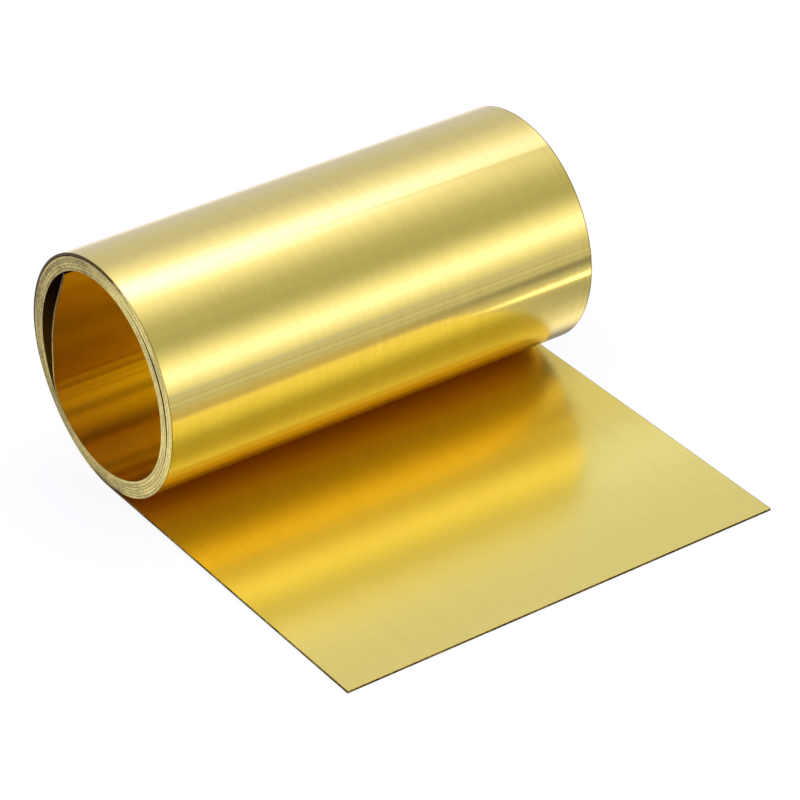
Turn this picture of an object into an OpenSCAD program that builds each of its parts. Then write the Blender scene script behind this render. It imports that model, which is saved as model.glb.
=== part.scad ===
// A roll of brass sheet: one long strip wound into an open coil, which lies on its side.
// The coil's axis runs along X. The strip's outer end lies flat on the floor, towards -Y.
// The strip's inner end springs off the wall of the bore, on the side away from the flat end.

/* [Sheet] */
// Width of the sheet, which is also the coil's length along its axis
sheet_w = 100; // [40:1:200]
// Thickness of the sheet
sheet_t = 0.5; // [0.3:0.05:1]
// Length of the stretch that lies flat, from below the coil's axis
flat_l = 82; // [60:0.5:200]

/* [Coil] */
// Radius of the coil's innermost face
bore_r = 21; // [16:0.1:40]
// Number of whole turns
turns = 6; // [4:1:10]
// Gap between one turn and the next
turn_gap = 0.1; // [0.06:0.01:0.2]
// Depth to which the gaps between the turns are open on each end
gap_depth = 2; // [0.5:0.5:10]

/* [Loose outer turn] */
// How far the outermost turn stands off the others where it is loosest, beyond the usual gap
wrap_slack = 0.35; // [0.1:0.05:1]
// Direction in which it is loosest, counted from +Y over the top
wrap_slack_at = 60; // [30:5:90]

/* [Loose inner turns] */
// Number of inner turns that sag away from the outer ones
loose_turns = 2; // [1:1:3]
// How far they sag, in the middle of the sag
sag = 0.35; // [0.1:0.05:0.8]
// Direction of the middle of the sag, counted from +Y over the top
sag_at = 155; // [150:5:210]
// Angle that the sag takes up on either side of its middle
sag_half = 45; // [30:5:55]

/* [Inner end] */
// Angle below level at which the inner end leaves the wall of the bore
flap_root = 36; // [30:1:50]
// Inner radius of the bend at its root
flap_bend_r = 9; // [6:0.5:14]
// Angle below level at which that bend ends
flap_bend_end = 8; // [0:1:20]
// Inner radius of the long curve that follows
flap_r = 35; // [25:1:60]
// Angle above level at which the long curve turns straight
flap_straight = 23; // [15:1:40]
// Clearance between the tip and the turn that it springs towards
tip_gap = 0.1; // [0.05:0.05:1]

/* [Hidden] */
$fn = 180;

// Distance from one turn's face to the same face of the next turn
pitch = sheet_t + turn_gap;
// The strip is counted in half turns: even ones on the +Y side, odd ones on the -Y side
last_half = 2 * turns;
last_loose_half = 2 * loose_turns - 1;
// The two sides are round about two centres, half a pitch apart, so the half turns join smoothly
flat_side_centre = [0, pitch / 2];
// The outermost turn is round about a centre of its own, and a little larger
wrap_centre = polar(wrap_slack / 2, wrap_slack_at);
wrap_r = face_r(last_half) + wrap_slack / 2;
wrap_flat_side_r = face_r(last_half - 1) + wrap_slack / 2;
// Outer radius of the turns inside it, on either side
wound_r = face_r(last_half - 2) + sheet_t;
wound_flat_side_r = face_r(last_half - 3) + sheet_t;
// The coil's axis, placed so that the origin is in the middle of the underside
axis_y = (flat_l - wrap_centre[0] - wrap_r - sheet_t) / 2;
axis_z = wrap_r + sheet_t - wrap_centre[1];
// A flatter circle, this much larger in radius, shapes the sag
sag_flat = sag * cos(sag_half) / (1 - cos(sag_half));
// The bend of the inner end starts this deep in the wall, and comes out of it a little later
root_sink = 0.1;
flap_bend_d = bore_r + root_sink - flap_bend_r;
root_angle = acos((pow(bore_r, 2) + pow(flap_bend_d, 2) - pow(flap_bend_r, 2)) / (2 * bore_r * flap_bend_d));
// The bend starts this many root angles before the wall's end, so it comes out within the wall
root_angles = 1.25;
flap_bend_start = -flap_root - root_angles * root_angle;
flap_bend_centre = polar(flap_bend_d, flap_bend_start);
flap_centre = flap_bend_centre + polar(flap_bend_r - flap_r, -flap_bend_end);
// Largest turn from one point of the inner end's outline to the next, in degrees
flap_step = 3;
// Reach of the shapes that only clip others
reach = 3 * wrap_r;
// Overshoot of a cut past the face that it opens
past = 1;
// Overlap of two shapes where they join
lap = 0.02;

// Radius of the inner face of a half turn
function face_r(half) = bore_r + half * pitch / 2;
// Point at a radius and an angle
function polar(r, angle) = [r * cos(angle), r * sin(angle)];
// Steps along an arc, each with its point and the angle that its outer side faces
function arc_steps(centre, r, from, to) =
    let (count = ceil((to - from) / flap_step))
    [for (i = [0 : count]) let (a = from + (to - from) * i / count) [centre + polar(r, a), a]];

// The shapes below are drawn in the coil's end view, with +Y to the right and +Z up.

// Everything on the +Y side (side = 1) or on the -Y side (side = -1)
module half_plane(side)
    translate([side > 0 ? 0 : -reach, -reach]) square([reach, 2 * reach]);

// Half of a ring, on the +Y side (side = 1) or on the -Y side (side = -1)
module half_ring(r_in, r_out, side)
    intersection() {
        difference() {
            circle(r_out);
            circle(r_in);
        }
        half_plane(side);
    }

// Stretch of a ring between two angles less than half a turn apart
module ring_stretch(r_in, r_out, from, to) {
    corner_r = reach / cos((to - from) / 2);
    intersection() {
        difference() {
            circle(r_out);
            circle(r_in);
        }
        polygon([[0, 0], polar(reach, from), polar(corner_r, (from + to) / 2), polar(reach, to)]);
    }
}

// Outline of the loose inner turns at a radius: round, and flattened where they sag
module loose_outline(r)
    intersection() {
        circle(r);
        sag_outline(r);
    }

// The flatter circle that meets the sagging turns at a radius
module sag_outline(r)
    translate(-polar(sag + sag_flat, sag_at)) circle(r + sag_flat);

// Outline of a face of a half turn on the -Y side
module flat_side_outline(half, r)
    if (half <= last_loose_half) loose_outline(r); else circle(r);

// The turns inside the outermost one, without the gaps between them
module wound_profile() {
    half_ring(face_r(2), wound_r, 1);
    ring_stretch(bore_r, face_r(2) + lap, -90, -flap_root);
    translate(flat_side_centre) intersection() {
        difference() {
            circle(wound_flat_side_r);
            loose_outline(face_r(1));
            sag_slot();
        }
        half_plane(-1);
    }
}

// The outermost turn and the strip's outer end, flat on the floor
module wrap_profile() {
    translate(wrap_centre) {
        translate(flat_side_centre)
            half_ring(wrap_flat_side_r, wrap_flat_side_r + sheet_t, -1);
        half_ring(wrap_r, wrap_r + sheet_t, 1);
    }
    translate([-flat_l, -axis_z]) square([flat_l + wrap_centre[0], sheet_t]);
}

// Crescent between the sagging inner turns and the outer ones
module sag_slot()
    difference() {
        circle(face_r(last_loose_half + 2));
        sag_outline(face_r(last_loose_half) + sheet_t);
    }

// The gaps between the turns, as they show on the coil's ends
module turn_gaps() {
    for (half = [2 : 2 : last_half - 4])
        half_ring(face_r(half) + sheet_t, face_r(half + 2), 1);
    ring_stretch(bore_r + sheet_t, face_r(2), -90, -flap_root);
    intersection() {
        translate(flat_side_centre)
            for (half = [1 : 2 : last_half - 5])
                difference() {
                    flat_side_outline(half + 2, face_r(half + 2));
                    flat_side_outline(half, face_r(half) + sheet_t);
                }
        half_plane(-1);
    }
}

// Steps along the inner face of the strip's inner end: a bend, a long curve and a straight tip
function flap_steps() =
    let (bend = arc_steps(flap_bend_centre, flap_bend_r, flap_bend_start, -flap_bend_end))
    let (curve = arc_steps(flap_centre, flap_r, -flap_bend_end, flap_straight))
    let (tip = curve[len(curve) - 1][0] + polar(bore_r, flap_straight + 90))
    concat(bend, [for (i = [1 : len(curve) - 1]) curve[i]], [[tip, flap_straight]]);

// The strip's inner end, whose tip stops short of the wall
module flap_profile() {
    steps = flap_steps();
    inner_face = [for (step = steps) step[0]];
    outer_face = [for (step = steps) step[0] + polar(sheet_t, step[1])];
    difference() {
        polygon(concat(inner_face, [for (i = [len(steps) - 1 : -1 : 0]) outer_face[i]]));
        difference() {
            translate([-reach, 0]) square(2 * reach);
            circle(face_r(2) - tip_gap);
        }
    }
}

// A profile made as long as the sheet is wide
module across_width() linear_extrude(sheet_w, center = true) children();

// The whole sheet
module brass_sheet() {
    color("#c9a94a")
    translate([0, axis_y, axis_z]) rotate([90, 0, 90])
    difference() {
        union() {
            across_width() wound_profile();
            across_width() wrap_profile();
            across_width() flap_profile();
        }
        for (side = [-1, 1])
            translate([0, 0, side * (sheet_w + past - gap_depth) / 2])
                linear_extrude(gap_depth + past, center = true) turn_gaps();
    }
}

brass_sheet();
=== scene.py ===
"""Looks of a roll of brass sheet: one long strip wound into a coil, its outer end unrolled flat."""

from __future__ import annotations

import logging
import math
import sys
from collections.abc import Callable
from dataclasses import dataclass
from enum import Enum

import bmesh
import bpy
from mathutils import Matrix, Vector

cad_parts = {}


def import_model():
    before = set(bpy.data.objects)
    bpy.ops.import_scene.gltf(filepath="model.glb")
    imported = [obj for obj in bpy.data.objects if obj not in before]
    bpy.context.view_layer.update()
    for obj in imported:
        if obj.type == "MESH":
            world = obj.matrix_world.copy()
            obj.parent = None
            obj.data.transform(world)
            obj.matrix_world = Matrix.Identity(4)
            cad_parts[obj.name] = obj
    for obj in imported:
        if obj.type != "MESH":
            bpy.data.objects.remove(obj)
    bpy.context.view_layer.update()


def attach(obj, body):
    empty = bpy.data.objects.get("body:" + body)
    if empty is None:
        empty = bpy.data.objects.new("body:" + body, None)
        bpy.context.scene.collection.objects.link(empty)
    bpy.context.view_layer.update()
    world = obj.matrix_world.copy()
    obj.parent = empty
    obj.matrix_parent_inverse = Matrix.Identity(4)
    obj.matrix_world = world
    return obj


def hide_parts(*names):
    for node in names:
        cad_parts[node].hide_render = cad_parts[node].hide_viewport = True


LOG = logging.getLogger("brass_roll")
MM = 0.001
# Angle of the coil's lowest line, counted from +Y over the top
BOTTOM = -90.0
# Differences in metres and in degrees that count as none
SAME_PLACE = 1e-6
SAME_ANGLE = 0.001
# Most bounces of a ray of light, which the inside of the bore needs
BOUNCES = 16
# Distances between the columns and the rows of a node tree
COLUMN, ROW = 220, 200
Colour = tuple[float, float, float, float]
WHITE = (1, 1, 1, 1)


class Half(Enum):
    """The two halves of a turn, as seen from the coil's end."""

    AWAY_FROM_TAIL = 0
    OVER_TAIL = 1


class Surface(Enum):
    """The sheet's kinds of surface, numbered as its material slots are."""

    INNER = 0
    OUTER = 1
    SHEARED = 2


def select_only(piece: bpy.types.Object) -> None:
    """Deselects everything and makes one piece the active one.

    Args:
        piece: The piece that the next operators act on.
    """
    bpy.ops.object.select_all(action="DESELECT")
    piece.select_set(True)
    bpy.context.view_layer.objects.active = piece


def select_edges(piece: bpy.types.Object, wanted: Callable[[bmesh.types.BMEdge], bool]) -> None:
    """Selects the edges of a piece in edit mode, and nothing else of it.

    Args:
        piece: A mesh object that is in edit mode.
        wanted: A test that is given each edge.
    """
    bpy.ops.mesh.select_mode(type="EDGE")
    bpy.ops.mesh.select_all(action="DESELECT")
    shape = bmesh.from_edit_mesh(piece.data)
    for edge in shape.edges:
        edge.select_set(wanted(edge))
    shape.select_flush_mode()
    bmesh.update_edit_mesh(piece.data)


def apply_modifier(piece: bpy.types.Object, kind: str, **settings) -> None:
    """Adds a modifier to the active piece, sets it and applies it.

    Args:
        piece: The active piece.
        kind: The modifier's type.
        **settings: Values of the modifier's properties.
    """
    modifier = piece.modifiers.new(kind.title(), kind)
    for key, value in settings.items():
        setattr(modifier, key, value)
    bpy.ops.object.modifier_apply(modifier=modifier.name)


def polar(radius: float, angle: float) -> Vector:
    """Point in the coil's end view, from a radius and an angle in degrees over +Y."""
    return Vector((radius * math.cos(math.radians(angle)), radius * math.sin(math.radians(angle))))


@dataclass
class BrassSheet:
    """The whole sheet: flat outer end, wound turns, and inner end that springs off the bore's wall.

    Sizes are those of the part's source, in metres and degrees, but one more turn sags and the
    outermost turn lies closer to the others. Angles count from +Y over the top. The sheet starts
    as a reference surface, its inner face, which is the top face of the flat end.
    """

    name: str = "rolled_sheet"
    width: float = 100 * MM
    thickness: float = 0.5 * MM
    flat_length: float = 82 * MM
    bore_radius: float = 21 * MM
    turns: int = 6
    turn_gap: float = 0.1 * MM
    axis_y: float = 28.319 * MM
    slack: float = 0.1 * MM
    slack_at: float = 60.0
    loose_turns: int = 3
    sag: float = 0.42 * MM
    sag_at: float = 155.0
    sag_reach: float = 55.0
    bend_start: float = -42.0
    bend_radius: float = 9 * MM
    bend_end: float = -8.0
    spring_radius: float = 35 * MM
    spring_end: float = 23.0
    tip_clearance: float = 0.1 * MM
    steps_per_half: int = 96
    degrees_per_step: float = 2.0
    edge_round: float = 0.02 * MM
    rounded_from: float = 60.0
    smooth_up_to: float = 15.0
    burr: float = 0.04 * MM
    burr_reach: float = 0.1 * MM
    inner_end_edge: float = 0.55
    outer_edge_loss: float = 0.6
    outer_edge_loss_at: float = 50.0
    outer_edge_loss_reach: float = 80.0
    lift: float = 0.1 * MM
    lift_at: float = 168.0
    lift_reach: float = 70.0
    squeeze: float = 0.43
    squeeze_at: float = -50.0
    squeeze_reach: float = 70.0
    squeeze_depth: float = 3 * MM
    strip_map: str = "along_the_strip"

    @property
    def pitch(self) -> float:
        """Distance from one turn's face to the same face of the next."""
        return self.thickness + self.turn_gap

    @property
    def last_half(self) -> int:
        """Number of the outermost half turn."""
        return 2 * self.turns

    @property
    def axis_z(self) -> float:
        """Height of the coil's axis over the floor."""
        return self.face_radius(self.last_half) + self.thickness

    def face_radius(self, half: int) -> float:
        """Radius of the inner face of a half turn."""
        return self.bore_radius + half * self.pitch / 2

    def half_centre(self, side: Half) -> Vector:
        """Centre of the half turns on one side, in the end view from the coil's axis."""
        return Vector((0, self.pitch / 2 if side is Half.OVER_TAIL else 0))

    def build(self) -> bpy.types.Object:
        """Makes the sheet.

        Returns:
            The finished mesh object, at the origin.
        """
        sheet = self.lay_flat()
        bpy.ops.object.mode_set(mode="EDIT")
        self.roll_up(sheet)
        self.spring_inner_end()
        bpy.ops.object.mode_set(mode="OBJECT")
        self.map_strip(sheet)
        self.mark_burr(sheet)
        self.relax(sheet)
        self.thicken(sheet)
        return sheet

    def lay_flat(self) -> bpy.types.Object:
        """Adds the flat outer end as a plane whose normal points up.

        Returns:
            The plane, with its place in its mesh.
        """
        bpy.ops.object.select_all(action="DESELECT")
        middle = self.axis_y - self.flat_length / 2
        bpy.ops.mesh.primitive_plane_add(size=1, location=(0, middle, self.thickness))
        sheet = bpy.context.object
        sheet.name = self.name
        sheet.scale = (self.width, self.flat_length, 1)
        bpy.ops.object.transform_apply(location=True, rotation=True, scale=True)
        return sheet

    def spin(self, centre: Vector, angle: float, steps: int) -> None:
        """Carries the selected end of the strip on along an arc.

        Args:
            centre: The arc's centre in the end view, from the coil's axis.
            angle: How far it goes, in degrees.
            steps: Number of faces along it.
        """
        place = (0, self.axis_y + centre.x, self.axis_z + centre.y)
        bpy.ops.mesh.spin(steps=steps, angle=math.radians(angle), center=place, axis=(-1, 0, 0))

    def roll_up(self, sheet: bpy.types.Object) -> None:
        """Winds the turns from the outermost to the innermost, one half turn after the other.

        Args:
            sheet: The flat end, in edit mode.
        """
        select_edges(sheet, lambda edge: all(abs(v.co.y - self.axis_y) < SAME_PLACE for v in edge.verts))
        for half in range(self.last_half, 0, -1):
            self.spin(self.half_centre(Half(half % 2)), 180, self.steps_per_half)

    def spring_inner_end(self) -> None:
        """Goes on from the bore's wall with a bend, a long curve and a straight tip."""
        self.arc(Vector((0, 0)), BOTTOM, self.bend_start)
        centre = polar(self.bore_radius - self.bend_radius, self.bend_start)
        self.arc(centre, self.bend_start, self.bend_end)
        centre += polar(self.bend_radius - self.spring_radius, self.bend_end)
        self.arc(centre, self.bend_end, self.spring_end)
        start = centre + polar(self.spring_radius, self.spring_end)
        ahead = polar(1, self.spring_end + 90)
        outer_corner = start + polar(self.thickness, self.spring_end)
        reach = self.face_radius(2) - self.tip_clearance
        along = outer_corner.dot(ahead)
        length = math.sqrt(along**2 + reach**2 - outer_corner.length_squared) - along
        move = (0, ahead.x * length, ahead.y * length)
        bpy.ops.mesh.extrude_region_move(TRANSFORM_OT_translate={"value": move})

    def arc(self, centre: Vector, start: float, end: float) -> None:
        """Carries the strip's end on from one angle about a centre to another."""
        self.spin(centre, end - start, max(2, round((end - start) / self.degrees_per_step)))

    def half_of(self, place: Vector) -> tuple[float, float]:
        """Tells which half turn a point of the reference surface is in.

        Args:
            place: The point.

        Returns:
            The number of the half turn, and the point's angle about its centre in degrees.
        """
        from_axis = Vector((place.y - self.axis_y, place.z - self.axis_z))
        side = Half.OVER_TAIL if from_axis.x < -SAME_PLACE else Half.AWAY_FROM_TAIL
        from_centre = from_axis - self.half_centre(side)
        angle = math.degrees(math.atan2(from_centre.y, from_centre.x))
        if angle < BOTTOM - SAME_ANGLE:
            angle += 360
        return 2 * (from_centre.length - self.bore_radius) / self.pitch, angle

    def relax(self, sheet: bpy.types.Object) -> None:
        """Lets the outer turns stand off the others and the inner turns sag, and presses the wall.

        The outer turns are loose at the coil's near end only, which is towards -X.

        Args:
            sheet: The wound reference surface.
        """
        stand_off = sheet.vertex_groups.new(name="stand_off")
        lifted = sheet.vertex_groups.new(name="lifted")
        sagging = sheet.vertex_groups.new(name="sagging")
        for vertex in sheet.data.vertices:
            half, angle = self.half_of(vertex.co)
            off_turn = abs(half - round(half)) > 0.05
            half = round(half)
            if off_turn or not 1 <= half <= self.last_half:
                continue
            looseness = 1.0 if vertex.co.x < 0 else 0.0
            if half >= self.last_half - 1:
                away = angle - self.slack_at
                reach = BOTTOM + 360 - self.slack_at if away > 0 else self.slack_at - BOTTOM
                stand_off.add([vertex.index], looseness * self.swell(away, reach), "REPLACE")
            elif half % 2 == 0:
                continue
            elif half < 2 * self.loose_turns:
                sagging.add([vertex.index], self.swell(angle - self.sag_at, self.sag_reach), "REPLACE")
            else:
                rise = self.swell(angle - self.lift_at, self.lift_reach)
                lifted.add([vertex.index], looseness * rise, "REPLACE")
        select_only(sheet)
        for group, move in (("stand_off", -self.slack), ("lifted", -self.lift), ("sagging", self.sag)):
            apply_modifier(sheet, "DISPLACE", vertex_group=group, mid_level=0, strength=move)
        self.press(sheet)

    def press(self, sheet: bpy.types.Object) -> None:
        """Moves the turns towards the middle of the wall where they are pressed together.

        Args:
            sheet: The wound reference surface.
        """
        middle = (self.bore_radius + self.axis_z) / 2
        for vertex in sheet.data.vertices:
            from_axis = Vector((0, vertex.co.y - self.axis_y, vertex.co.z - self.axis_z))
            radius = from_axis.length
            inwards = max(radius, self.bore_radius) - middle
            vertex.co -= from_axis * (inwards * self.tightness(vertex.co) / radius)

    def tightness(self, place: Vector) -> float:
        """Tells how closely the turns are pressed together at a point of the reference surface.

        They are so low down at the coil's near end, on the side away from the flat end.

        Args:
            place: The point.

        Returns:
            The share of the wall's depth that is missing there.
        """
        if place.x > 0:
            return 0.0
        from_axis = Vector((place.y - self.axis_y, place.z - self.axis_z))
        angle = math.degrees(math.atan2(from_axis.y, from_axis.x))
        beyond = max(self.bore_radius - from_axis.length, from_axis.length - self.axis_z, 0)
        share = self.squeeze * self.swell(angle - self.squeeze_at, self.squeeze_reach)
        return share * self.swell(beyond, self.squeeze_depth)

    @staticmethod
    def swell(away: float, reach: float) -> float:
        """Smooth rise from 0 at the reach to 1 in the middle."""
        if abs(away) >= reach:
            return 0.0
        return 0.5 * (1 + math.cos(math.pi * away / reach))

    def map_strip(self, sheet: bpy.types.Object) -> None:
        """Lays the strip out flat as a UV map: across it and along it, both in sheet widths.

        Args:
            sheet: The reference surface, one face wide.
        """
        mesh = sheet.data
        places = [vertex.co for vertex in mesh.vertices]
        links: dict[int, list[int]] = {}
        across: dict[int, int] = {}
        for edge in mesh.edges:
            one, other = edge.vertices
            if places[one].x * places[other].x > 0:
                links.setdefault(one, []).append(other)
                links.setdefault(other, []).append(one)
            else:
                across[one] = other
                across[other] = one
        here = min((i for i in links if places[i].x < 0), key=lambda i: places[i].y)
        along = {here: 0.0}
        ahead = links[here]
        while ahead:
            step = (places[ahead[0]] - places[here]).length
            along[ahead[0]] = along[here] + step
            here = ahead[0]
            ahead = [i for i in links[here] if i not in along]
        along.update({across[i]: length for i, length in list(along.items())})
        layer = mesh.uv_layers.active or mesh.uv_layers.new()
        layer.name = self.strip_map
        for loop in mesh.loops:
            place = places[loop.vertex_index]
            layer.data[loop.index].uv = (place.x / self.width + 0.5, along[loop.vertex_index] / self.width)
        LOG.info("strip is %.1f mm long", along[here] / MM)

    def mark_burr(self, sheet: bpy.types.Object) -> None:
        """Cuts off narrow margins along both edges, and notes how thick the sheet is at each point.

        The margins take the finish of the cut edges.

        Args:
            sheet: The reference surface.
        """
        select_only(sheet)
        for surface in Surface:
            sheet.data.materials.append(bpy.data.materials.new(surface.name.lower()))
        bpy.ops.object.mode_set(mode="EDIT")
        for side in (-1, 1):
            bpy.ops.mesh.select_all(action="SELECT")
            margin = side * (self.width / 2 - self.burr_reach)
            bpy.ops.mesh.bisect(plane_co=(margin, 0, 0), plane_no=(1, 0, 0))
        bpy.ops.object.mode_set(mode="OBJECT")
        for face in sheet.data.polygons:
            if abs(face.center.x) > self.width / 2 - self.burr_reach:
                face.material_index = Surface.SHEARED.value
        thick = sheet.vertex_groups.new(name="thick")
        for vertex in sheet.data.vertices:
            size = self.thickness
            if abs(abs(vertex.co.x) - self.width / 2) < SAME_PLACE:
                size = self.edge_thickness(*self.half_of(vertex.co))
            size *= 1 - self.tightness(vertex.co)
            thick.add([vertex.index], size / (self.thickness + self.burr), "REPLACE")

    def edge_thickness(self, half: float, angle: float) -> float:
        """Thickness at the very edge of the sheet: burred where it is wound, worn where it is loose.

        Args:
            half: Number of the half turn.
            angle: Angle about its centre, in degrees.

        Returns:
            The thickness.
        """
        if 0.5 < half < self.last_half - 1.5:
            return self.thickness + self.burr
        if half < -0.5:
            return self.inner_end_edge * self.thickness
        if half < self.last_half + 1.5:
            away = angle - self.outer_edge_loss_at
            loss = self.outer_edge_loss * self.swell(away, self.outer_edge_loss_reach)
            return self.thickness * (1 - loss)
        return self.thickness

    def thicken(self, sheet: bpy.types.Object) -> None:
        """Gives the sheet its thickness and takes the sharpness off its edges.

        Args:
            sheet: The reference surface.
        """
        select_only(sheet)
        apply_modifier(sheet, "SOLIDIFY", thickness=self.thickness + self.burr, vertex_group="thick",
                       offset=-1, use_rim=True, material_offset=Surface.OUTER.value,
                       material_offset_rim=Surface.SHEARED.value)
        for vertex in sheet.data.vertices:
            vertex.co.x = min(max(vertex.co.x, -self.width / 2), self.width / 2)
        apply_modifier(sheet, "BEVEL", width=self.edge_round, segments=2, limit_method="ANGLE",
                       angle_limit=math.radians(self.rounded_from))
        bpy.ops.object.shade_smooth_by_angle(angle=math.radians(self.smooth_up_to))


def node(tree: bpy.types.NodeTree, kind: str, at: tuple[int, int], inputs: dict | None = None,
         **values) -> bpy.types.Node:
    """Adds a node to a tree, sets its properties and fills its inputs.

    Args:
        tree: The tree.
        kind: The node's type, without its ShaderNode start.
        at: Its column and row in the tree.
        inputs: What its inputs take, by name or number: a socket to link, or a constant.
        **values: Its properties.

    Returns:
        The node.
    """
    made = tree.nodes.new("ShaderNode" + kind)
    made.location = (COLUMN * at[0], -ROW * at[1])
    for key, value in values.items():
        setattr(made, key, value)
    for key, term in (inputs or {}).items():
        if isinstance(term, bpy.types.NodeSocket):
            tree.links.new(term, made.inputs[key])
        else:
            made.inputs[key].default_value = term
    return made


def maths(tree: bpy.types.NodeTree, operation: str, at: tuple[int, int], *terms) -> bpy.types.NodeSocket:
    """Adds a Math node.

    Args:
        tree: The tree.
        operation: The node's operation.
        at: Its column and row in the tree.
        *terms: Its inputs, each a socket or a number.

    Returns:
        Its output.
    """
    return node(tree, "Math", at, dict(enumerate(terms)), operation=operation).outputs[0]


def split(tree: bpy.types.NodeTree, at: tuple[int, int],
          place: bpy.types.NodeSocket) -> bpy.types.bpy_prop_collection:
    """Adds a node that splits a place, and gives its outputs X, Y and Z."""
    return node(tree, "SeparateXYZ", at, {"Vector": place}).outputs


def blend(tree: bpy.types.NodeTree, at: tuple[int, int], factor: bpy.types.NodeSocket,
          one: bpy.types.NodeSocket | Colour, other: bpy.types.NodeSocket | Colour,
          **values) -> bpy.types.NodeSocket:
    """Adds a mix of two colours.

    Args:
        tree: The tree.
        at: Column and row in the tree.
        factor: Share of the other colour.
        one: The first colour.
        other: The other colour.
        **values: The node's properties, apart from its type of data.

    Returns:
        The mixed colour.
    """
    terms = {"Factor": factor, "A": one, "B": other}
    return node(tree, "Mix", at, terms, data_type="RGBA", **values).outputs["Result"]


def fresh_tree(owner: bpy.types.Material | bpy.types.World) -> bpy.types.NodeTree:
    """Turns on the nodes of a material or a world, and empties its tree."""
    owner.use_nodes = True
    owner.node_tree.nodes.clear()
    return owner.node_tree


def end_tree(tree: bpy.types.NodeTree, at: tuple[int, int], shader: bpy.types.Node,
             kind: str = "OutputMaterial") -> None:
    """Ends a tree with the output node that takes a shader."""
    node(tree, kind, at, {"Surface": shader.outputs[0]})


def new_group(name: str, vectors: tuple[str, ...], numbers: tuple[str, ...],
              output: str) -> tuple[bpy.types.NodeTree, bpy.types.bpy_prop_collection, bpy.types.NodeSocket]:
    """Starts a shader group that gives one number.

    Args:
        name: Its name.
        vectors: Names of its vector inputs.
        numbers: Names of its number inputs.
        output: Name of its output.

    Returns:
        Its tree, the sockets that its inputs come from, and the socket that its output goes to.
    """
    tree = bpy.data.node_groups.new(name, "ShaderNodeTree")
    for title in vectors:
        tree.interface.new_socket(title, in_out="INPUT", socket_type="NodeSocketVector")
    for title in numbers:
        tree.interface.new_socket(title, in_out="INPUT", socket_type="NodeSocketFloat")
    tree.interface.new_socket(output, in_out="OUTPUT", socket_type="NodeSocketFloat")
    start = tree.nodes.new("NodeGroupInput")
    end = tree.nodes.new("NodeGroupOutput")
    end.location = (5 * COLUMN, 0)
    return tree, start.outputs, end.inputs[output]


@dataclass(frozen=True)
class Ramp:
    """A change of a level from low to high, between a start and an end."""

    start: float
    end: float
    low: float = 0.0
    high: float = 1.0
    smooth: bool = True

    def add(self, tree: bpy.types.NodeTree, at: tuple[int, int],
            place: bpy.types.NodeSocket) -> bpy.types.NodeSocket:
        """Adds this change to a tree.

        Args:
            tree: The tree.
            at: Column and row in the tree.
            place: The value that it goes by.

        Returns:
            The level, which stays at low before the start and at high past the end.
        """
        terms = {"Value": place, "From Min": self.start, "From Max": self.end, "To Min": self.low,
                 "To Max": self.high}
        kind = "SMOOTHSTEP" if self.smooth else "LINEAR"
        return node(tree, "MapRange", at, terms, interpolation_type=kind).outputs[0]


@dataclass(frozen=True)
class Streaks:
    """Streaks that run along the strip, as rolling and brushing leave them.

    Their number is counted over the sheet's width, both across the strip and along it. Low and
    high are the noise levels that are taken as no streak and as a full one.
    """

    across: float
    along: float
    low: float
    high: float

    @staticmethod
    def group() -> bpy.types.NodeTree:
        """Finds the shader group, or builds it the first time.

        Returns:
            The node group, which gives the streaks from 0 to 1.
        """
        found = bpy.data.node_groups.get("streaks")
        if found:
            return found
        tree, given, result = new_group("streaks", ("Strip",), ("Across", "Along", "Low", "High"), "Streaks")
        counts = node(tree, "CombineXYZ", (1, 1), {"X": given["Across"], "Y": given["Along"], "Z": 1})
        stretched = node(tree, "VectorMath", (2, 0), {0: given["Strip"], 1: counts.outputs[0]},
                         operation="MULTIPLY")
        noise = node(tree, "TexNoise", (3, 0), {"Vector": stretched.outputs[0], "Scale": 1, "Detail": 3,
                                                "Roughness": 0.6})
        level = node(tree, "MapRange", (4, 0), {"Value": noise.outputs["Fac"], "From Min": given["Low"],
                                                "From Max": given["High"]})
        tree.links.new(level.outputs[0], result)
        return tree

    def add(self, tree: bpy.types.NodeTree, at: tuple[int, int],
            strip: bpy.types.NodeSocket) -> bpy.types.NodeSocket:
        """Adds these streaks to a tree.

        Args:
            tree: The tree.
            at: Column and row in the tree.
            strip: The place on the flat strip.

        Returns:
            The streaks, from 0 to 1.
        """
        terms = {"Strip": strip, "Across": self.across, "Along": self.along, "Low": self.low,
                 "High": self.high}
        return node(tree, "Group", at, terms, node_tree=self.group()).outputs["Streaks"]


@dataclass(frozen=True)
class Swell:
    """A smooth rise of a level in the middle of a reach, or a fall where its strength is negative."""

    middle: float
    reach: float
    strength: float

    @staticmethod
    def group() -> bpy.types.NodeTree:
        """Finds the shader group, or builds it the first time.

        Returns:
            The node group, which gives the strength at a place.
        """
        found = bpy.data.node_groups.get("swell")
        if found:
            return found
        tree, given, result = new_group("swell", (), ("Place", "Middle", "Reach", "Strength"), "Level")
        away = maths(tree, "SUBTRACT", (1, 0), given["Place"], given["Middle"])
        away = maths(tree, "ABSOLUTE", (2, 0), away)
        near = node(tree, "MapRange", (3, 0), {"Value": away, "From Min": given["Reach"], "From Max": 0},
                    interpolation_type="SMOOTHSTEP")
        level = maths(tree, "MULTIPLY", (4, 0), near.outputs[0], given["Strength"])
        tree.links.new(level, result)
        return tree

    def add(self, tree: bpy.types.NodeTree, at: tuple[int, int], place: bpy.types.NodeSocket,
            level: bpy.types.NodeSocket | float = 0.0) -> bpy.types.NodeSocket:
        """Adds this swell to a level.

        Args:
            tree: The tree.
            at: Column and row in the tree.
            place: The angle or distance that it goes by.
            level: The level without it.

        Returns:
            The level with it.
        """
        terms = {"Place": place, "Middle": self.middle, "Reach": self.reach, "Strength": self.strength}
        made = node(tree, "Group", at, terms, node_tree=self.group())
        return maths(tree, "ADD", (at[0] + 1, at[1]), level, made.outputs[0])


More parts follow.
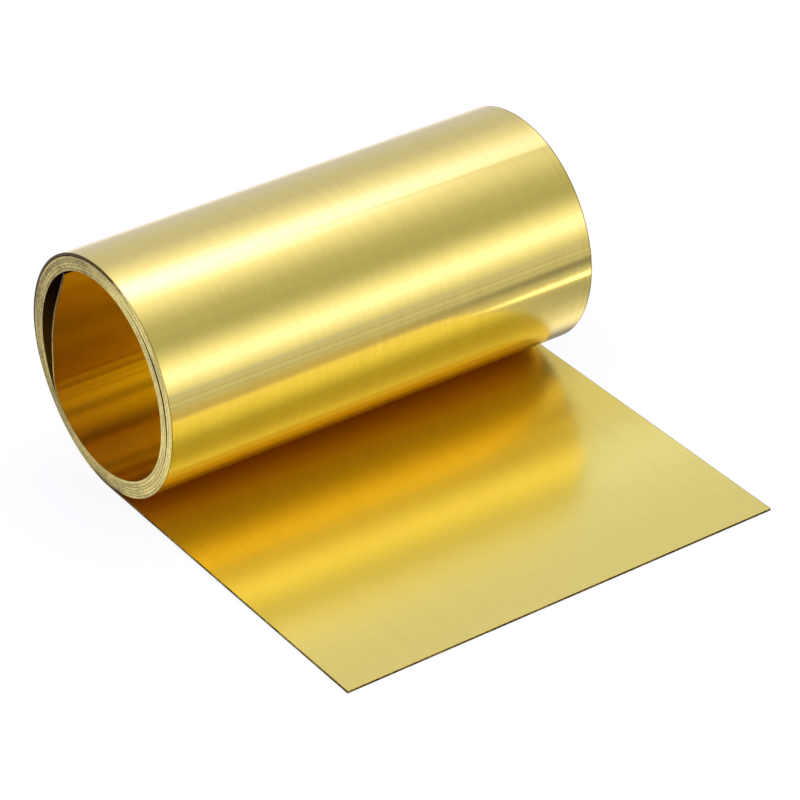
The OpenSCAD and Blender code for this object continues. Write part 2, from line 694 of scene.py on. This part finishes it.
def add_swells(tree: bpy.types.NodeTree, at: tuple[int, int], swells: tuple[Swell, ...],
               place: bpy.types.NodeSocket, level: bpy.types.NodeSocket | float) -> bpy.types.NodeSocket:
    """Adds several swells to a level, one in each row.

    Args:
        tree: The tree.
        at: Column and first row in the tree.
        swells: The swells.
        place: The angle or distance that they go by.
        level: The level without them.

    Returns:
        The level with them.
    """
    for row, swell in enumerate(swells, at[1]):
        level = swell.add(tree, (at[0], row), place, level)
    return level


@dataclass(frozen=True)
class RolledBrass:
    """Rolled brass, with streaks along the strip, marks along or across it, and darker stretches.

    The tone goes from the stained and shaded colour at 0 to the clean one at 1. Some marks are painted shade
    and painted highlight, and a gold painted reflection lies where the flat end mirrors the coil. Places
    along the strip count from the tip of the flat end, and places across it from the near edge, both in
    sheet widths.
    """

    strip_map: str
    colour: Colour = (0.9, 0.715, 0.21, 1)
    # Painted reflection: a gold tint over the stretch of the flat end that mirrors the coil.
    gold_reflection_tint: Colour = (0.9, 0.715, 0.21, 1)
    gold_reflection_stretch: Swell = Swell(0.6, 0.32, 1.5)
    # Low end of the tone, for stains and for the painted shade in some marks.
    stain_and_shade: Colour = (0.25, 0.14, 0.015, 1)
    tone: float = 0.9
    lines: Streaks = Streaks(260, 30, 0.3, 0.7)
    line_tone: float = 0.055
    line_depth: float = 0.0
    bands: Streaks = Streaks(60, 1.2, 0.35, 0.65)
    band_tone: float = 0.05
    scratches: Streaks = Streaks(480, 7, 0.64, 0.7)
    scratch_tone: float = -0.16
    along_marks: tuple[Swell, ...] = ()
    across_marks: tuple[Swell, ...] = ()
    roughness: float = 0.152
    flat_roughness: float = 0.152
    flat_up_to: float = 0.8
    wound_from: float = 1.1
    roughness_by_tone: Ramp = Ramp(0.6, 1.0, 1.2, 0.93, smooth=False)
    anisotropy: float = 0.9

    def dress(self, material: bpy.types.Material) -> None:
        """Makes a material into this finish.

        Args:
            material: The material that is rebuilt.
        """
        tree = fresh_tree(material)
        strip = node(tree, "UVMap", (0, 0), uv_map=self.strip_map).outputs[0]
        run = split(tree, (1, 4), strip)
        lines = self.lines.add(tree, (1, 0), strip)
        tone = self.mark(tree, strip, run, lines)
        # Painted reflection: a gold tint where the flat end mirrors the coil.
        gold_reflection_tint = self.gold_reflection_stretch.add(tree, (2, 3), run["Y"])
        clean = blend(tree, (3, 3), gold_reflection_tint, self.colour, self.gold_reflection_tint)
        # The tone darkens the colour towards stains and painted shade.
        colour = blend(tree, (5, 0), tone, self.stain_and_shade, clean)
        by_tone = self.roughness_by_tone.add(tree, (5, 1), tone)
        unrolled = Ramp(self.flat_up_to, self.wound_from, self.flat_roughness, self.roughness, smooth=False)
        rough = maths(tree, "MULTIPLY", (6, 1), unrolled.add(tree, (5, 4), run["Y"]), by_tone)
        bump = node(tree, "Bump", (5, 2), {"Strength": 1, "Distance": self.line_depth, "Height": lines})
        tangent = node(tree, "Tangent", (5, 3), direction_type="UV_MAP", uv_map=self.strip_map)
        shader = node(tree, "BsdfPrincipled", (7, 0), {
            "Base Color": colour,
            "Metallic": 1,
            "Roughness": rough,
            "Anisotropic": self.anisotropy,
            "Normal": bump.outputs[0],
            "Tangent": tangent.outputs[0],
        })
        end_tree(tree, (9, 0), shader)

    def mark(self, tree: bpy.types.NodeTree, strip: bpy.types.NodeSocket,
             run: bpy.types.bpy_prop_collection, lines: bpy.types.NodeSocket) -> bpy.types.NodeSocket:
        """Adds the streaks and the marks.

        Args:
            tree: The material's tree.
            strip: The place on the flat strip.
            run: The same place split into X across the strip and Y along it.
            lines: The finest streaks.

        Returns:
            The tone.
        """
        bands = self.bands.add(tree, (1, 2), strip)
        scratches = self.scratches.add(tree, (1, 3), strip)
        tone = maths(tree, "MULTIPLY_ADD", (3, 0), lines, self.line_tone, self.tone - self.line_tone / 2)
        tone = maths(tree, "MULTIPLY_ADD", (4, 0), bands, self.band_tone, tone)
        tone = maths(tree, "MULTIPLY_ADD", (5, 0), scratches, self.scratch_tone, tone)
        tone = add_swells(tree, (2, 4), self.along_marks, run["Y"], tone)
        return add_swells(tree, (2, 4 + len(self.along_marks)), self.across_marks, run["X"], tone)


@dataclass(frozen=True)
class OuterFace(RolledBrass):
    """The face that shows round the coil: brushed, with a faint crease painted along it as dark and light
    lines, painted shade along both margins and on its underside above the flat end, and darker at the inner
    end's tip.
    """

    line_depth: float = 0.002 * MM
    along_marks: tuple[Swell, ...] = (
        # Painted shade and painted highlight: dark, light and dark lines of a faint crease.
        Swell(1.9126, 0.0028, -0.12),
        Swell(1.9178, 0.003, 0.09),
        Swell(1.9233, 0.0028, -0.1),
        # Painted shade on the coil's underside, above the flat end.
        Swell(2.21, 0.125, -0.25),
        Swell(9.95, 0.22, -0.9),
    )
    across_marks: tuple[Swell, ...] = (
        # Painted shade along both margins of the face.
        Swell(0.0, 0.0042, -1.1),
        Swell(1.0, 0.0045, -1.0),
        Swell(0.983, 0.0018, -0.1),
    )


@dataclass(frozen=True)
class InnerFace(RolledBrass):
    """The face that shows in the bore and on top of the flat end: smoother, darker in places, with painted
    shade where the flat end meets the coil and a gold painted reflection where it mirrors the coil.
    """

    colour: Colour = (0.97, 0.82, 0.21, 1)
    # Painted reflection: a gold tint where the flat end mirrors the coil.
    gold_reflection_tint: Colour = (0.98, 0.755, 0.14, 1)
    # Low end of the tone, for stains and for painted shade.
    stain_and_shade: Colour = (0.28, 0.14, 0.012, 1)
    line_tone: float = 0.03
    band_tone: float = 0.03
    scratch_tone: float = -0.06
    along_marks: tuple[Swell, ...] = (
        Swell(0.0, 0.3, -0.19),
        Swell(0.32, 0.12, 0.1),
        # Painted shade where the flat end meets the coil.
        Swell(0.72, 0.17, -0.24),
        Swell(8.65, 0.25, -0.72),
        Swell(9.3, 0.9, 0.05),
        Swell(9.492, 0.06, -0.5),
    )
    roughness: float = 0.18
    flat_roughness: float = 0.225
    anisotropy: float = 0.55


@dataclass(frozen=True)
class ShearedBrass:
    """The sheet's cut edges: duller and paler than its faces, with small nicks.

    The tone goes from the dull and shaded colour at 0 to the clean one at 1. Painted shade lowers it towards
    the floor and along the outermost turn's edge, and painted light and shade make it higher on the flat
    end's side and lower on the side away from the flat end.
    """

    strip_map: str
    colour: Colour = (0.93, 0.79, 0.26, 1)
    # Low end of the tone, for dull metal and for painted shade.
    dull_and_shaded_colour: Colour = (0.07, 0.035, 0.001, 1)
    tone: float = -0.68
    nick_scale: float = 2600.0
    nick_detail: float = 2.0
    nick_tone: float = 1.1
    nick_bump: float = 0.5
    nick_depth: float = 0.03 * MM
    wear_scale: float = 110.0
    wear_tone: float = 0.6
    turn_streaks: tuple[Streaks, ...] = (
        Streaks(0.1, 1.3, 0.3, 0.7),
        Streaks(0.1, 9, 0.3, 0.7),
        Streaks(0.1, 60, 0.3, 0.7),
    )
    turn_tones: tuple[float, ...] = (0.25, 0.36, 0.2)
    marks: tuple[Swell, ...] = (
        # Painted shade: a dark line along the outermost turn's edge.
        Swell(1.42, 0.33, -2.0),
        Swell(9.97, 0.25, -0.3),
    )
    # Painted shade towards the floor.
    shade_by_height: Ramp = Ramp(0.0, 2.5 * MM, -0.6, 0.0)
    # Painted light and shade: lighter on the flat end's side, darker on the side away from it.
    shade_by_side: Ramp = Ramp(4 * MM, 46 * MM, 0.13, -0.25)
    roughness: float = 0.42

    def dress(self, material: bpy.types.Material) -> None:
        """Makes a material into this finish.

        Args:
            material: The material that is rebuilt.
        """
        tree = fresh_tree(material)
        place = node(tree, "TexCoord", (0, 0)).outputs["Object"]
        nicks = node(tree, "TexNoise", (1, 0), {"Vector": place, "Scale": self.nick_scale,
                                                "Detail": self.nick_detail}).outputs["Fac"]
        tone = self.mark(tree, place, nicks)
        # The tone darkens the edges towards dull metal and painted shade.
        colour = blend(tree, (5, 0), tone, self.dull_and_shaded_colour, self.colour)
        bump = node(tree, "Bump", (5, 1), {"Strength": self.nick_bump, "Distance": self.nick_depth,
                                           "Height": nicks})
        shader = node(tree, "BsdfPrincipled", (7, 0), {
            "Base Color": colour,
            "Metallic": 1,
            "Roughness": self.roughness,
            "Normal": bump.outputs[0],
        })
        end_tree(tree, (9, 0), shader)

    def mark(self, tree: bpy.types.NodeTree, place: bpy.types.NodeSocket,
             nicks: bpy.types.NodeSocket) -> bpy.types.NodeSocket:
        """Adds the wear, the differences between the turns and the marks, with painted shade towards the
        floor, along the outermost turn's edge and to one side.

        Args:
            tree: The material's tree.
            place: The place on the object.
            nicks: The noise that the nicks are made from.

        Returns:
            The tone.
        """
        parts = split(tree, (1, 2), place)
        strip = node(tree, "UVMap", (0, 4), uv_map=self.strip_map).outputs[0]
        run = split(tree, (1, 3), strip)
        wear = node(tree, "TexNoise", (1, 1), {"Vector": place, "Scale": self.wear_scale})
        tone = maths(tree, "MULTIPLY_ADD", (2, 0), nicks, self.nick_tone, self.tone)
        tone = maths(tree, "MULTIPLY_ADD", (2, 1), wear.outputs["Fac"], self.wear_tone, tone)
        for row, (streaks, depth) in enumerate(zip(self.turn_streaks, self.turn_tones), 5):
            streak = streaks.add(tree, (1, row), strip)
            tone = maths(tree, "MULTIPLY_ADD", (2, row), streak, depth, tone)
        tone = add_swells(tree, (2, 9), self.marks, run["Y"], tone)
        # Painted shade towards the floor, and painted light and shade from one side to the other.
        tone = maths(tree, "ADD", (3, 0), tone, self.shade_by_height.add(tree, (2, 2), parts["Z"]))
        return maths(tree, "ADD", (4, 0), tone, self.shade_by_side.add(tree, (2, 3), parts["Y"]))


FINISHES = {Surface.INNER: InnerFace, Surface.OUTER: OuterFace, Surface.SHEARED: ShearedBrass}


@dataclass(frozen=True)
class LongLight(Swell):
    """A long soft light on the arch, by its angle.

    For each metre along X it shifts by its slant and grows by its fade.
    """

    slant: float = 0.0
    fade: float = 0.0
    tint: tuple[float, float, float] = (1, 1, 1)

    def shine(self, tree: bpy.types.NodeTree, row: int, angle: bpy.types.NodeSocket,
              along: bpy.types.NodeSocket, evenness: bpy.types.NodeSocket,
              colour: bpy.types.NodeSocket) -> bpy.types.NodeSocket:
        """Adds this light to the arch's colour.

        Args:
            tree: The arch's tree.
            row: Row in the tree.
            angle: The angle round the arch, in degrees.
            along: The distance along X, in metres.
            evenness: The share of the light that is left towards the arch's ends.
            colour: The colour without it.

        Returns:
            The colour with it.
        """
        turned = maths(tree, "MULTIPLY_ADD", (5, row), along, -self.slant, angle)
        level = self.add(tree, (6, row), turned)
        faded = maths(tree, "MULTIPLY_ADD", (8, row), along, self.fade, 1.0)
        faded = maths(tree, "MAXIMUM", (9, row), faded, 0.0)
        faded = maths(tree, "MULTIPLY", (10, row), faded, evenness)
        level = maths(tree, "MULTIPLY", (11, row), level, faded)
        lit = node(tree, "VectorMath", (12, row), {0: self.tint, 1: level, 2: colour},
                   operation="MULTIPLY_ADD")
        return lit.outputs[0]


@dataclass(frozen=True)
class Studio:
    """Plain pale floor under a wide pale arch that long soft lights shine through.

    A light's place on the arch is an angle in degrees, from behind the roll (0) over the top (90)
    to the side where the flat end lies (180). Its slant and fade count from a place along X, no
    further than lean_back and lean_ahead from it. The floor glows in bands where the metal mirrors
    it. Their places along Y are in millimetres, and some of them are only beside the sheet.
    """

    lights: tuple[LongLight, ...] = (
        LongLight(79.4, 43.5, 0.76, slant=-30, fade=-3, tint=(1.0, 1.0, 1.2)),
        LongLight(78.0, 19.2, 1.2, slant=-33, fade=-8, tint=(0.25, 0.28, 1.25)),
        LongLight(162.4, 27.3, 0.86, slant=-26, tint=(1.0, 1.0, 1.15)),
        LongLight(163.2, 11.9, 0.62, slant=-26, tint=(0.25, 0.28, 1.1)),
        LongLight(131.0, 7.0, -0.045, slant=-37),
    )
    lean_from: float = 0.214
    lean_back: float = -0.08
    lean_ahead: float = 0.3
    evenness: Ramp = Ramp(0.15, 0.5, 1.0, 0.3)
    arch_behind: Colour = (0.692, 0.722, 0.923, 1)
    arch_in_front: Colour = (0.566, 0.59, 0.52, 1)
    arch_turn: Ramp = Ramp(45, 130)
    arch_radius: float = 0.4
    arch_length: float = 5.0
    arch_sides: int = 96
    arch_place: tuple[float, float, float] = (0, 28.3 * MM, 25.1 * MM)
    beyond: float = 0.9
    floor_size: float = 6.0
    floor_drop: float = 0.02 * MM
    floor_shadow: float = 0.2
    floor_white: float = 0.84
    floor_behind: Colour = (1.0, 0.98, 1.02, 1)
    floor_in_front: Colour = (0.5, 0.51, 0.49, 1)
    floor_turn: Ramp = Ramp(-12, 10)
    floor_by_sheet: Colour = (1, 0.76, 0.25, 1)
    by_sheet: Swell = Swell(-66, 60, 1)
    beside: Ramp = Ramp(0.03, 0.09)
    bands_beside: tuple[Swell, ...] = (
        Swell(-70, 31, -0.84),
        Swell(-33.2, 4.2, 8.5),
        Swell(-16, 24, -0.5),
        Swell(5, 4.5, 0.35),
    )
    bands: tuple[Swell, ...] = (
        Swell(15, 8, -0.85),
        Swell(360, 300, -0.45),
    )

    def build(self) -> None:
        """Sets up the floor, the arch and the surroundings."""
        self.lay_floor()
        self.raise_arch()
        self.surround()

    def lay_floor(self) -> None:
        """Adds the floor, a hair below the sheet."""
        bpy.ops.object.select_all(action="DESELECT")
        bpy.ops.mesh.primitive_plane_add(size=self.floor_size, location=(0, 0, -self.floor_drop))
        floor = bpy.context.object
        floor.name = "floor"
        bpy.ops.object.transform_apply(location=True)
        floor.data.materials.append(self.floor_material())

    def floor_material(self) -> bpy.types.Material:
        """Makes the floor's material: white to the camera, with the object's soft shadow on it.

        Returns:
            The material.
        """
        material = bpy.data.materials.new("floor")
        tree = fresh_tree(material)
        path = node(tree, "LightPath", (0, 0)).outputs
        parts = split(tree, (1, 2), node(tree, "TexCoord", (0, 2)).outputs["Object"])
        along = maths(tree, "DIVIDE", (2, 2), parts["Y"], MM)
        beside = self.beside.add(tree, (2, 4), parts["X"])
        level = add_swells(tree, (3, 6), self.bands_beside, along, 0.0)
        level = maths(tree, "MULTIPLY_ADD", (5, 6), level, beside, 1.0)
        level = add_swells(tree, (6, 6), self.bands, along, level)
        level = maths(tree, "MULTIPLY", (8, 6), level, path["Is Glossy Ray"])
        level = maths(tree, "MULTIPLY_ADD", (9, 2), path["Is Camera Ray"], self.floor_white, level)
        mirrored = self.mirrored_colour(tree, along, beside)
        colour = blend(tree, (9, 1), path["Is Glossy Ray"], WHITE, mirrored)
        emission = node(tree, "Emission", (10, 1), {"Color": colour, "Strength": level})
        grey = (self.floor_shadow, self.floor_shadow, self.floor_shadow, 1)
        diffuse = node(tree, "BsdfDiffuse", (10, 0), {"Color": grey})
        both = node(tree, "AddShader", (11, 0), {0: diffuse.outputs[0], 1: emission.outputs[0]})
        end_tree(tree, (12, 0), both)
        return material

    def mirrored_colour(self, tree: bpy.types.NodeTree, along: bpy.types.NodeSocket,
                        beside: bpy.types.NodeSocket) -> bpy.types.NodeSocket:
        """Adds the floor's colour where the metal mirrors it, which is warmer next to the sheet.

        Args:
            tree: The floor's tree.
            along: The place along Y, in millimetres.
            beside: How far the place is beside the sheet, from 0 to 1.

        Returns:
            The colour.
        """
        fill = blend(tree, (3, 0), self.floor_turn.add(tree, (2, 3), along), self.floor_in_front,
                     self.floor_behind)
        at_sheet = maths(tree, "SUBTRACT", (3, 4), 1.0, beside)
        warmth = maths(tree, "MULTIPLY", (5, 4), self.by_sheet.add(tree, (3, 5), along), at_sheet)
        return blend(tree, (6, 4), warmth, fill, self.floor_by_sheet, blend_type="MULTIPLY")

    def raise_arch(self) -> None:
        """Adds the arch over the roll, which only the metal and the floor see."""
        bpy.ops.object.select_all(action="DESELECT")
        bpy.ops.mesh.primitive_cylinder_add(vertices=self.arch_sides, radius=self.arch_radius,
                                            depth=self.arch_length, end_fill_type="NOTHING",
                                            rotation=(0, math.pi / 2, 0))
        arch = bpy.context.object
        arch.name = "arch"
        bpy.ops.object.transform_apply(rotation=True)
        arch.location = self.arch_place
        arch.visible_camera = False
        arch.data.materials.append(self.arch_material())

    def arch_material(self) -> bpy.types.Material:
        """Makes the arch's material: pale all round, brighter where the long lights are.

        Returns:
            The material.
        """
        material = bpy.data.materials.new("arch")
        material.cycles.emission_sampling = "NONE"
        tree = fresh_tree(material)
        parts = split(tree, (1, 0), node(tree, "TexCoord", (0, 0)).outputs["Object"])
        turn = maths(tree, "ARCTAN2", (2, 0), parts["Z"], parts["Y"])
        angle = maths(tree, "DEGREES", (3, 0), turn)
        along = maths(tree, "SUBTRACT", (2, 1), parts["X"], self.lean_from)
        evenness = self.evenness.add(tree, (4, 2), maths(tree, "ABSOLUTE", (3, 2), along))
        along = maths(tree, "MAXIMUM", (3, 1), along, self.lean_back)
        along = maths(tree, "MINIMUM", (4, 1), along, self.lean_ahead)
        colour = blend(tree, (5, 0), self.arch_turn.add(tree, (4, 0), angle), self.arch_behind,
                       self.arch_in_front)
        for row, light in enumerate(self.lights, 1):
            colour = light.shine(tree, row, angle, along, evenness, colour)
        emission = node(tree, "Emission", (13, 0), {"Color": colour})
        end_tree(tree, (14, 0), emission)
        return material

    def surround(self) -> None:
        """Makes the world beyond the arch: pale, and white to the camera."""
        world = bpy.data.worlds.new("studio")
        bpy.context.scene.world = world
        tree = fresh_tree(world)
        camera = node(tree, "LightPath", (0, 0)).outputs["Is Camera Ray"]
        level = node(tree, "Mix", (1, 0), {"Factor": camera, "A": self.beyond, "B": 1}, data_type="FLOAT")
        background = node(tree, "Background", (2, 0), {"Color": WHITE, "Strength": level.outputs["Result"]})
        end_tree(tree, (3, 0), background, "OutputWorld")


@dataclass(frozen=True)
class Viewpoint:
    """The photograph's viewpoint: angles in degrees, lens and sensor in millimetres, rest in metres."""

    azimuth: float = -35.669
    elevation: float = 33.054
    distance: float = 0.76985
    lens: float = 175.27
    sensor: float = 36.0
    target: tuple[float, float, float] = (0.006177, 0.008319, 0.009348)
    nearest: float = 0.01
    farthest: float = 20.0

    def build(self) -> bpy.types.Object:
        """Adds the camera.

        Returns:
            The camera object.
        """
        turn = math.radians(self.azimuth)
        rise = math.radians(self.elevation)
        back = Vector((math.sin(turn) * math.cos(rise), -math.cos(turn) * math.cos(rise), math.sin(rise)))
        bpy.ops.object.camera_add(location=Vector(self.target) + back * self.distance)
        camera = bpy.context.object
        camera.rotation_euler = back.to_track_quat("Z", "Y").to_euler()
        camera.data.lens = self.lens
        camera.data.sensor_width = self.sensor
        camera.data.clip_start = self.nearest
        camera.data.clip_end = self.farthest
        bpy.context.scene.camera = camera
        return camera


def main() -> None:
    """Sets up the studio, builds the sheet and dresses it."""
    logging.basicConfig(level=logging.INFO, format="%(message)s", stream=sys.stdout)
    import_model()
    scene = bpy.context.scene
    scene.view_settings.view_transform = "Standard"
    scene.cycles.max_bounces = BOUNCES
    scene.cycles.glossy_bounces = BOUNCES

    Viewpoint().build()
    Studio().build()

    design = BrassSheet()
    sheet = design.build()
    for surface, finish in FINISHES.items():
        finish(design.strip_map).dress(sheet.material_slots[surface.value].material)
    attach(sheet, "root")
    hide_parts("brass_sheet")
    LOG.info("%s: %d faces", sheet.name, len(sheet.data.polygons))


if __name__ == "__main__":
    main()
